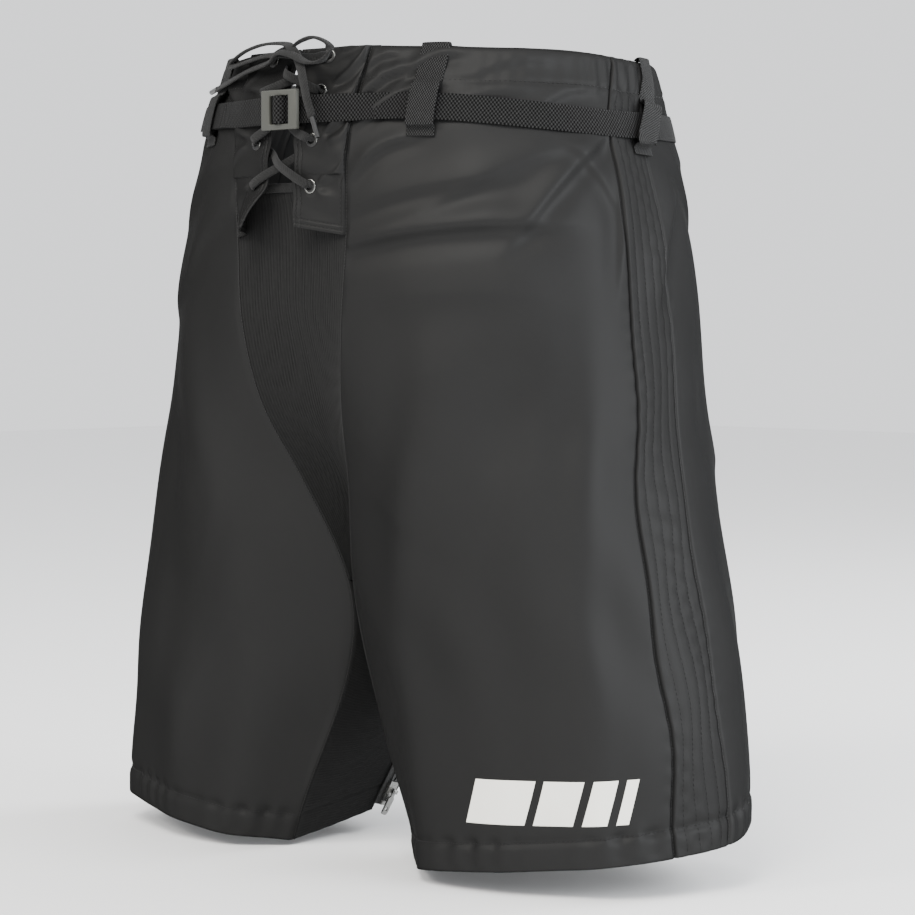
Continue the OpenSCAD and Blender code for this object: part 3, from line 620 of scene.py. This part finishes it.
knit_across = ribbed_knit("ribbed_knit_across", 1)
for word, side in sides:
    t = np.linspace(0, 1, 380)[:, None] * np.ones((1, 40))
    zip_z = mix(crotch[0, 2], hem_line[-1, 1], t)
    wide = np.linalg.norm(inner_leg(0 * t, t) - inner_leg(0 * t + 1, t), axis=-1)
    a = mix(zip_slot(zip_z) / wide, 1, np.linspace(0, 1, 40)[None, :])
    plain = inner_leg(a, t)
    foot = plain[..., 2] - mix(hem_line[-1, 1], hem_line[0, 1], a)
    out = (ribs_of(plain[..., 2]) - 0.8 * np.exp(-((foot - hem_turn) / 1.5) ** 2) - 0.6
           + 2.2 * np.sin(np.pi * a) * np.sin(plain[..., 2] / 23 + side)) * ease(0, 0.04, 1 - a)
    points = (plain + outward(inner_leg, a, t) * out[..., None]) * (side * MM, MM, MM)
    inner = cloth_piece(f"inner_gusset_knit_{word}", points, cloth_thick, knit_across, flip=side < 0)
    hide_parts(f"inner_gusset_{word}")
    sew_sheet(points)


# Fly flaps: one shaped facing of the shell nylon down each side of the fly, doubled and edge-stitched. They are
# drawn toward each other by the lace, so they wrinkle between the eyelets; the foot of the right one curls out.
eyelet_heights = (35, 12, -20, -50)
eyelet_x, flap_edge_x, flap_edge_top_x, flap_bulge, flap_out = 27, 12, 1, 7, 1.4
flap_foot, flap_length = (-76, -82), 118
edge_stitches, foot_stitches, seam_stitches = (3.1, 6.6), (2.6, 5.8), 2.6
wrinkle_slopes, wrinkle_rises = (0.55, 0.75, 0.9, 0.3), (1.3, 1.8, 2.2, 1.4)
foot_bend = {"left": 0.12, "right": 1.25}
flap_cloth = woven_nylon("woven_nylon_flap", 0.021, roughness=0.4, lustre=0.45)


def flap_point(side, a, t, out=0.0):
    """A point of a flap in metres: a from its free edge (0) to its seam (1), t from rim to foot."""
    z = mix(rim_z, mix(*flap_foot, a), t)
    edge = curve(front_edge, z)
    # The free edge is pulled in at the eyelets and bows out between them
    pull = sum(np.exp(-((z - e) / 7) ** 2) for e in eyelet_heights)
    free = mix(flap_edge_x, flap_edge_top_x, ease(-5, 25, z))
    x = mix(free + 1.3 - 2.2 * pull * ease(-70, -40, z), edge[..., 0], a)
    stand = flap_bulge * (1 - (x / edge[..., 0]) ** 2)
    # Wrinkles that fan out from each eyelet toward the seam, steeper above and flatter below
    rise = 0 * z
    for e, slope, amount in zip(eyelet_heights, wrinkle_slopes, wrinkle_rises):
        away = x - eyelet_x
        for lean, share in ((slope, 1), (slope - 0.55, -0.8), (slope - 1.1, 0.6)):
            off = (z - e) - lean * away - 0.02 * side * away ** 2
            ridge = share * amount * np.exp(-(off / (2.2 + 0.09 * away)) ** 2)
            rise = rise + ridge * ease(3, 11, away) * (1 - 0.6 * ease(0.7, 1, a))
    rise = rise + 0.35 * np.sin(z / 3.1 + side) * np.sin(x / 7 + z / 19)
    # The doubled edge, its two stitched lines and the ridge between them
    rise = rise + 0.5 * ease(7.4, 6.2, x - free)
    for line in edge_stitches:
        rise = rise - 0.45 * np.exp(-((x - free - line) / 0.45) ** 2)
    for line in foot_stitches:
        rise = rise - 0.4 * np.exp(-((z - mix(*flap_foot, a) - line) / 0.5) ** 2)
    rise = rise - 0.5 * np.exp(-((edge[..., 0] - x - seam_stitches) / 0.5) ** 2)
    rise = rise * ease(0.0, 0.04, 1 - a) - 1.7 * np.exp(-((edge[..., 0] - x) / 0.9) ** 2)
    # The washer and the set ring clamp the cloth flat round each hole
    for e in eyelet_heights:
        gap = np.hypot(x - eyelet_x, z - e)
        rise = rise * ease(4.6, 9, gap) - 0.15 * np.exp(-(gap / 5.5) ** 4)
    # The foot bends outward round an upright line, strongly on the right flap and a little on the left one
    bend_by = foot_bend["right" if side < 0 else "left"] * ease(-42, -80, z) + 1e-4
    width = edge[..., 0] - x
    angle = bend_by * ease(0, 30, width)
    radius = width / np.maximum(angle, 1e-4)
    y = edge[..., 1] - stand * np.cos(bend_by) - flap_out - rise - out - radius * (1 - np.cos(angle))
    return np.stack([side * (edge[..., 0] - radius * np.sin(angle)), y, z], -1) * MM


for word, side in sides:
    t = np.linspace(0, 1, 260)[:, None] * np.ones((1, 100))
    a = np.linspace(0, 1, 100)[None, :] * np.ones_like(t)
    points = flap_point(side, a, t)
    # The seam allowance is tucked in behind the front panel
    points = np.concatenate([points, points[:, -1:] + np.array([side * 1.2, 1.5, 0]) * MM,
                             points[:, -1:] + np.array([side * 5, 3.5, 0]) * MM], 1)
    flap = cloth_piece(f"fly_flap_cloth_{word}", points, 1.3 * MM, flap_cloth, flip=side < 0)
    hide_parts(f"fly_flap_{word}")
    sew_sheet(points)
    # Two rows down the free edge, two along the foot and one beside the seam
    v = np.linspace(0.01, 0.96, 500)
    z = mix(rim_z, flap_foot[0], v)
    wide = curve(front_edge, z)[..., 0] - mix(flap_edge_x, flap_edge_top_x, ease(-5, 25, z))
    lines = [((gap + 0 * v) / wide, v) for gap in edge_stitches] + [(1 - seam_stitches / wide, v)]
    w = np.linspace(0.06, 0.94, 200)
    lines += [(w, 1 - gap / flap_length + 0 * w) for gap in foot_stitches]
    rows = []
    for a, t in lines:
        low, high = flap_point(side, a, t, 0.05), flap_point(side, a, t, 1.05)
        rows.append((low, (high - low) / MM))
    sew(f"flap_stitches_{word}", rows, "flap_cloth")


# Eyelets: eight two-part nickel-plated brass eyelets, domed on the face, with a flat washer behind, set
# through the flaps. The rim of each is spun smooth and its barrel is rolled over the washer.
nickel = Finish("nickel_plate", Metallic=1.0, Roughness=0.2, Base_Color=(0.20, 0.20, 0.19, 1))
scuffs = nickel.noise(nickel.place(), 700, 4)
nickel.feed("Roughness", scuffs * 0.2 + 0.08)
nickel.bump(scuffs, 0.08, 0.05 * MM)
# The eyelets' barrels and washers are coloured dark as painted shade, for the shadow inside each ring; a noise only
# mottles that dark tone.
barrel = Finish("nickel_painted_in_shade", Metallic=1.0, Roughness=0.5)
shade_mottle = barrel.noise(barrel.place(), 400, 3)
barrel.shades(shade_mottle, grey(0.02), grey(0.06))
rim_radius, hole_radius, rim_flatness, rim_lift = 4.75, 3.6, 0.72, 0.45
for word, side in sides:
    rings = []
    for e in eyelet_heights:
        spot = curve(front_edge, np.array(e))
        stand = flap_bulge * (1 - (eyelet_x / spot[0]) ** 2) + flap_out
        centre = Vector((side * eyelet_x, spot[1] - stand - rim_lift, e)) * MM
        lean = math.atan2(2 * flap_bulge * eyelet_x / spot[0] ** 2, 1)
        bpy.ops.object.select_all(action="DESELECT")
        bpy.ops.mesh.primitive_torus_add(
            major_segments=56, minor_segments=16, major_radius=(rim_radius + hole_radius) / 2 * MM,
            minor_radius=(rim_radius - hole_radius) / 2 * MM, location=centre,
            rotation=(math.pi / 2, 0, side * lean))
        rings.append(bpy.context.object)
        bpy.ops.object.mode_set(mode="EDIT")
        bpy.ops.mesh.select_all(action="SELECT")
        bpy.ops.transform.resize(value=(1, 1, rim_flatness), orient_type="LOCAL", center_override=centre)
        bpy.ops.object.mode_set(mode="OBJECT")
    bpy.ops.object.select_all(action="DESELECT")
    for ring in rings:
        ring.select_set(True)
    bpy.context.view_layer.objects.active = rings[0]
    bpy.ops.object.join()
    bpy.ops.object.transform_apply(location=True, rotation=True, scale=True)
    bpy.ops.object.shade_smooth()
    ring = bpy.context.object
    ring.name = f"eyelet_rings_{word}"
    ring.data.materials.append(nickel.material)
    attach(ring, "shell")
    for node in (f"eyelets_{word}", f"eyelet_washers_{word}"):
        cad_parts[node].data.materials.clear()
        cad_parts[node].data.materials.append(barrel.material)


# Waist facing and elastic: a strip of black tricot closes the inside of the casing, and a white knitted
# elastic runs in it from one side seam round the back to the other.
def around(s, z, out):
    """A point round the whole waist in metres: s from the fly (0) round the left side, back (1) and right (2)."""
    u = np.where(s <= 1, s, 2 - s)
    t = share_down(u, z)
    p = shell(u, t) + outward(shell, u, t) * out[..., None]
    return p * np.stack([np.where(s <= 1, 1, -1), 1 + 0 * s, 1 + 0 * s], -1) * MM


lining = Finish("black_tricot", Roughness=0.9, Sheen_Weight=0.05, Specular_IOR_Level=0.2)
uv, across, down = lining.cloth_place()
wales = across.wave(1.0 * MM) * down.wave(1.4 * MM)
lining.shades(wales * 0.3 + 0.5, grey(0.005), grey(0.016))
lining.bump(wales, 0.4, 0.2 * MM)
s = np.linspace(0.005, 1.995, 640)[None, :] * np.ones((12, 1))
u = np.where(s <= 1, s, 2 - s)
top = curve(rim_line, u)[..., 0]
z = mix(top - 0.4, 14, np.linspace(0, 1, 12)[:, None])
gathers = 0.5 * np.sin(s * half_girth / 2.1) * ease(0.3, 0.5, u)
points = around(s, z, gathers - mix(1.2, 4.0, ease(top, top - 3, z)))
facing = cloth_piece("waist_facing_cloth", points, cloth_thick, lining.material)
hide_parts("waist_facing")
sew_sheet(points)

rubber = Finish("knitted_elastic", Roughness=0.85, Sheen_Weight=0.1)
uv, across, down = rubber.cloth_place()
cords = down.wave(1.3 * MM) + across.wave(1.1 * MM) * 0.3
rubber.shades(cords * 0.3 + 0.5, (0.42, 0.42, 0.40), (0.75, 0.75, 0.72))
rubber.bump(cords, 0.5, 0.2 * MM)
s = np.linspace(0.35, 1.65, 420)[None, :] * np.ones((8, 1))
z = mix(31, 17, np.linspace(0, 1, 8)[:, None]) * np.ones_like(s)
points = around(s, z, -2.3 + 0.45 * np.sin(s * half_girth / 2.1))
elastic = cloth_piece("waist_elastic_band", points, 0.6 * MM, rubber.material)
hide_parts("waist_elastic")
sew_sheet(points)


# Belt: 18 mm polypropylene webbing in a coarse pebbled weave. It runs once round the waist inside its loops,
# folds over the buckle's centre bar, and its free tail passes back through the buckle over itself.
def webbing(name, level, column, row, depth):
    """Pebbled webbing: raised crossings in staggered columns, over a darker ground."""
    finish = Finish(name, Roughness=0.7, Specular_IOR_Level=0.06)
    uv, across, down = finish.cloth_place()
    pebbles = across.wave(column) * down.wave(row)
    fine = (across + down).wave(0.45 * MM) * 0.18
    lint = finish.noise(finish.place(), 500, 3)
    finish.shades((pebbles + 0.25) * 0.75 + fine + lint * 0.35, grey(level * 0.15), grey(level * 2.6))
    finish.bump(pebbles + fine, 0.9, depth)
    return finish.material


belt_w, belt_t, strap_out, tail_out = 18, 1.2, 2.2, 3.9
buckle_x, bar_out, belt_plane = 6, 6.7, -142


def belt_z(s):
    """The height of the belt's middle: it dips at the wearer's left side and rises again behind."""
    return np.where(s <= 1, -11 * ease(0.05, 0.45, s) + 6 * ease(0.5, 1, s), -5 * (1 - ease(1, 1.5, s)))


def bend(radius, first, last, steps):
    a = np.radians(np.linspace(first, last, steps))
    return np.stack([buckle_x + radius * np.cos(a), bar_out + radius * np.sin(a)], -1)


tail_run = np.vstack([[(-45, -4.4), (-30, -0.6), (-18, 2.6), (-11, 3.7), (-3.5, 3.7), (-1.2, 4.9)],
                      bend(4.3, 180, 0, 9), [(10.8, 4), (13, 1.6), (16, 1), (24, 1), (34, -0.5), (46, -4.5)]])
fold_run = np.vstack([[(-45, -6.2), (-30, -2.4), (-18, 0.8), (-11, 2), (-3, 2), (1, 2.9), (3, 4.6)],
                      bend(2.6, 190, -90, 11), [(4.3, 2.6), (2, 1), (-3, 0.3), (-11, 0.3), (-18, -0.9),
                                                (-30, -4.1)]])


def strap_points(s, out):
    u = np.where(s <= 1, s, 2 - s)
    middle = around(s, belt_z(s), 0 * s + out)
    face = around(s, belt_z(s), 0 * s + out + 1) - middle
    return middle, face / np.linalg.norm(face, axis=-1)[:, None]


def run_points(run):
    ends = np.gradient(run, axis=0)
    face = np.stack([-ends[:, 1], ends[:, 0]], -1) / np.linalg.norm(ends, axis=1)[:, None]
    return (np.stack([run[:, 0], belt_plane - run[:, 1], 0 * run[:, 0]], -1) * MM,
            np.stack([face[:, 0], -face[:, 1], 0 * face[:, 0]], -1))


pieces_of_belt = [strap_points(np.arange(1.84, 1.975, 0.01), tail_out), run_points(tail_run),
                  strap_points(np.arange(0.03, 1.976, 0.0097), strap_out), run_points(fold_run)]
middle = through(np.vstack([p for p, _ in pieces_of_belt]), 3)
face = through(np.vstack([f for _, f in pieces_of_belt]), 3)
ripple = 0.25 * MM * np.sin(np.arange(len(middle)) / 11) * np.sin(np.arange(len(middle)) / 5.3)
belt = ribbon_mesh("waist_belt", middle + face * ripple[:, None], face, belt_w * MM, belt_t * MM, sides=20)
belt.data.materials.append(webbing("pebbled_webbing", 0.013, 3.0 * MM, 2.4 * MM, 0.5 * MM))
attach(belt, "shell")
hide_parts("belt")


# Belt loops: five short lengths of tighter 19 mm webbing over the belt, caught in the waist casing above and
# bar-tacked to the shell below.
loop_w, loop_t = 19, 1.2
loop_profile = [(20, 0.4), (15, 2.6), (10.5, 5.1), (-10.5, 5.1), (-12.5, 2.6), (-14, 0.4), (-19, 0.3)]
loop_webbing = webbing("loop_webbing", 0.017, 1.7 * MM, 2.4 * MM, 0.35 * MM)
loops = {"front_left": 0.11, "front_right": 1.91, "side_left": 0.475, "side_right": 1.525, "back": 0.995}
side_lean = 0.0016
for word, s0 in loops.items():
    top = curve(rim_line, np.array(min(s0, 2 - s0)))[0]
    z0 = float(belt_z(np.array(s0)))
    over_rim = [(top + 0.5, -2.0), (top + 1.6, 0.6), (top - 1.5, 2.0)]
    profile = through(np.array(over_rim + [(z0 + dz, out + loop_t) for dz, out in loop_profile]), 10)
    rise = profile[:, 0]
    # The side loops lean back toward the rim, where the cloth is drawn in
    lean = side_lean * (1 if s0 < 1 else -1) * (word[:4] == "side") * np.clip(rise - z0 + 10, 0, 40)
    middle = around(s0 + lean, np.minimum(rise, top), profile[:, 1] - loop_t / 2)
    middle[:, 2] += np.maximum(rise - top, 0) * MM
    ahead, behind = (around(s0 + lean + step, np.minimum(rise, top), profile[:, 1]) for step in (0.002, -0.002))
    face = np.cross(np.gradient(middle, axis=0), ahead - behind)
    loop = ribbon_mesh(f"belt_loop_{word}_webbing", middle, face, loop_w * MM, loop_t * MM, sides=20)
    loop.data.materials.append(loop_webbing)
    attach(loop, "shell")
    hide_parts(f"belt_loop_{word}")


# Buckle: a flat slide buckle moulded in grey-green acetal, with a fixed centre bar. Its outer edges are
# broken with a moulded bevel and its faces carry a fine matt texture.
lo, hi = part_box("buckle")
bpy.ops.object.select_all(action="DESELECT")
bpy.ops.mesh.primitive_cube_add(size=1, location=(lo + hi) / 2, scale=hi - lo)
buckle = bpy.context.object
buckle.name = "slide_buckle"
bpy.ops.object.transform_apply(location=True, rotation=True, scale=True)
side_rails, end_rails, cutter_depth, bar_radius, bar_inset = 16, 7.5, 30, 1.5, 6
window = Vector(((hi.x - lo.x) / MM - side_rails, cutter_depth, (hi.z - lo.z) / MM - end_rails)) * MM
bpy.ops.mesh.primitive_cube_add(size=1, location=(lo + hi) / 2, scale=window)
cutter = bpy.context.object
bpy.ops.object.select_all(action="DESELECT")
bpy.context.view_layer.objects.active = buckle
buckle.select_set(True)
cut = buckle.modifiers.new("window", "BOOLEAN")
cut.operation, cut.object, cut.solver = "DIFFERENCE", cutter, "EXACT"
bpy.ops.object.modifier_apply(modifier="window")
bpy.data.objects.remove(cutter)
bevel = buckle.modifiers.new("moulded_edges", "BEVEL")
bevel.width, bevel.segments, bevel.limit_method, bevel.angle_limit = 0.9 * MM, 3, "ANGLE", math.radians(40)
bpy.ops.object.modifier_apply(modifier="moulded_edges")
bpy.ops.mesh.primitive_cylinder_add(vertices=40, radius=bar_radius * MM, depth=hi.z - lo.z - bar_inset * MM,
                                    location=(lo + hi) / 2)
bar = bpy.context.object
bpy.ops.object.select_all(action="DESELECT")
buckle.select_set(True)
bar.select_set(True)
bpy.context.view_layer.objects.active = buckle
bpy.ops.object.join()
bpy.ops.object.shade_smooth_by_angle(angle=math.radians(40))
acetal = Finish("moulded_acetal", Roughness=0.45, Specular_IOR_Level=0.3)
haze, grain = acetal.noise(acetal.place(), 60), acetal.noise(acetal.place(), 1800, 2)
acetal.shades(haze * 0.6 + grain * 0.4, (0.036, 0.037, 0.032), (0.056, 0.057, 0.050))
acetal.feed("Roughness", grain * 0.2 + 0.34)
acetal.bump(grain, 0.12, 0.1 * MM)
buckle.data.materials.append(acetal.material)
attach(buckle, "buckle")
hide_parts("buckle")


# Leg zips: a short moulded zip in the rear seam of each inner leg, on woven tapes, with metal stops and a
# nickel-plated slider with a flat pull.
tape = Finish("woven_zip_tape", Roughness=0.88, Sheen_Weight=0.05)
twill = tape.node("ShaderNodeTexWave", {"wave_type": "BANDS", "bands_direction": "DIAGONAL"},
                  {"Vector": tape.place(), "Scale": 900, "Distortion": 0.6})
tape.shades(twill * 0.8, grey(0.006), grey(0.02))
tape.bump(twill, 0.4, 0.15 * MM)
teeth = Finish("moulded_zip_teeth", Roughness=0.4)
cloud = teeth.noise(teeth.place(), 600)
teeth.shades(cloud, grey(0.012), grey(0.035))
teeth.bump(cloud, 0.1, 0.05 * MM)
plated = Finish("nickel_plated_zinc", Metallic=1.0, Roughness=0.3, Base_Color=(0.34, 0.34, 0.33, 1))
rubbed = plated.noise(plated.place(), 500, 4)
plated.feed("Roughness", rubbed * 0.3 + 0.14)
plated.bump(rubbed, 0.1, 0.05 * MM)
for word, _ in sides:
    for node, finish in (("zip_tapes", tape), ("zip_chain", teeth), ("zip_stops", plated), ("zip_slider", plated),
                         ("zip_pull", plated)):
        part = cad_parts[f"{node}_{word}"]
        part.data.materials.clear()
        part.data.materials.append(finish.material)


# Transfer: a satin white film heat-bonded to the front of the left hem, as plain slanted blocks that shorten
# toward the side. It is so thin that it follows every pucker of the cloth.
film = Finish("transfer_film", Roughness=0.5, Specular_IOR_Level=0.4)
wear = film.noise(film.place(), 45, 4)
film.shades(wear, (0.80, 0.79, 0.72), (0.90, 0.89, 0.83))
film.bump(film.noise(film.place(), 1200, 2), 0.1, 0.1 * MM)
mark_blocks = ((0.19, 0.262), (0.272, 0.318), (0.328, 0.355), (0.365, 0.379))
mark_top, mark_foot, mark_lean, mark_climb = -427, -455, 0.012, 20
film_out, film_thick = 0.16, 0.12 * MM
for number, (start, end) in enumerate(mark_blocks):
    b = np.linspace(0, 1, 40)[:, None] * np.ones((1, 60))
    u = mix(start, end, np.linspace(0, 1, 60)[None, :]) + mark_lean * (0.5 - b)
    z = mix(mark_top, mark_foot, b) + mark_climb * (u - mark_blocks[0][0])
    points = draped(1, u, share_down(u, z), film_out)
    block = cloth_piece(f"hem_mark_block_{number + 1}", points, film_thick, film.material)
    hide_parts("hem_mark")


# Studio: a plain pale floor under a white sky, one large soft light high over the camera, a small one low in
# front of the fly that draws out the satin folds, one on the wearer's left side and one behind.
def soft_light(name, at, size, power, tint):
    lamp = bpy.data.objects.new(name, bpy.data.lights.new(name, "AREA"))
    bpy.context.scene.collection.objects.link(lamp)
    lamp.data.shape, lamp.data.size, lamp.data.energy, lamp.data.color = "DISK", size, power, tint
    lamp.location = at
    lamp.rotation_euler = (Vector((0, 0, -0.22)) - Vector(at)).to_track_quat("-Z", "Y").to_euler()


soft_light("key_light", (0.9, -1.8, 1.9), 1.4, 78, (1.0, 0.975, 0.92))
soft_light("satin_light", (-0.5, -2.0, 1.05), 0.7, 24, (1.0, 0.96, 0.88))
soft_light("side_light", (2.4, 0.4, 0.4), 1.4, 58, (0.94, 0.97, 1.0))
soft_light("back_light", (0.9, 2.3, 1.2), 1.4, 75, (0.96, 0.98, 1.0))
bpy.ops.object.select_all(action="DESELECT")
bpy.ops.mesh.primitive_plane_add(size=12, location=(0, 0, cad_box[0].z - 0.004))
floor = bpy.context.object
floor.name = "studio_floor"
floor.data.materials.append(Finish("pale_floor", Roughness=0.9, Base_Color=(0.9, 0.9, 0.9, 1)).material)
world = bpy.data.worlds.new("white_sky")
bpy.context.scene.world = world
world.use_nodes = True
world.node_tree.nodes["Background"].inputs["Color"].default_value = (0.97, 0.98, 1.0, 1)
world.node_tree.nodes["Background"].inputs["Strength"].default_value = 1.4
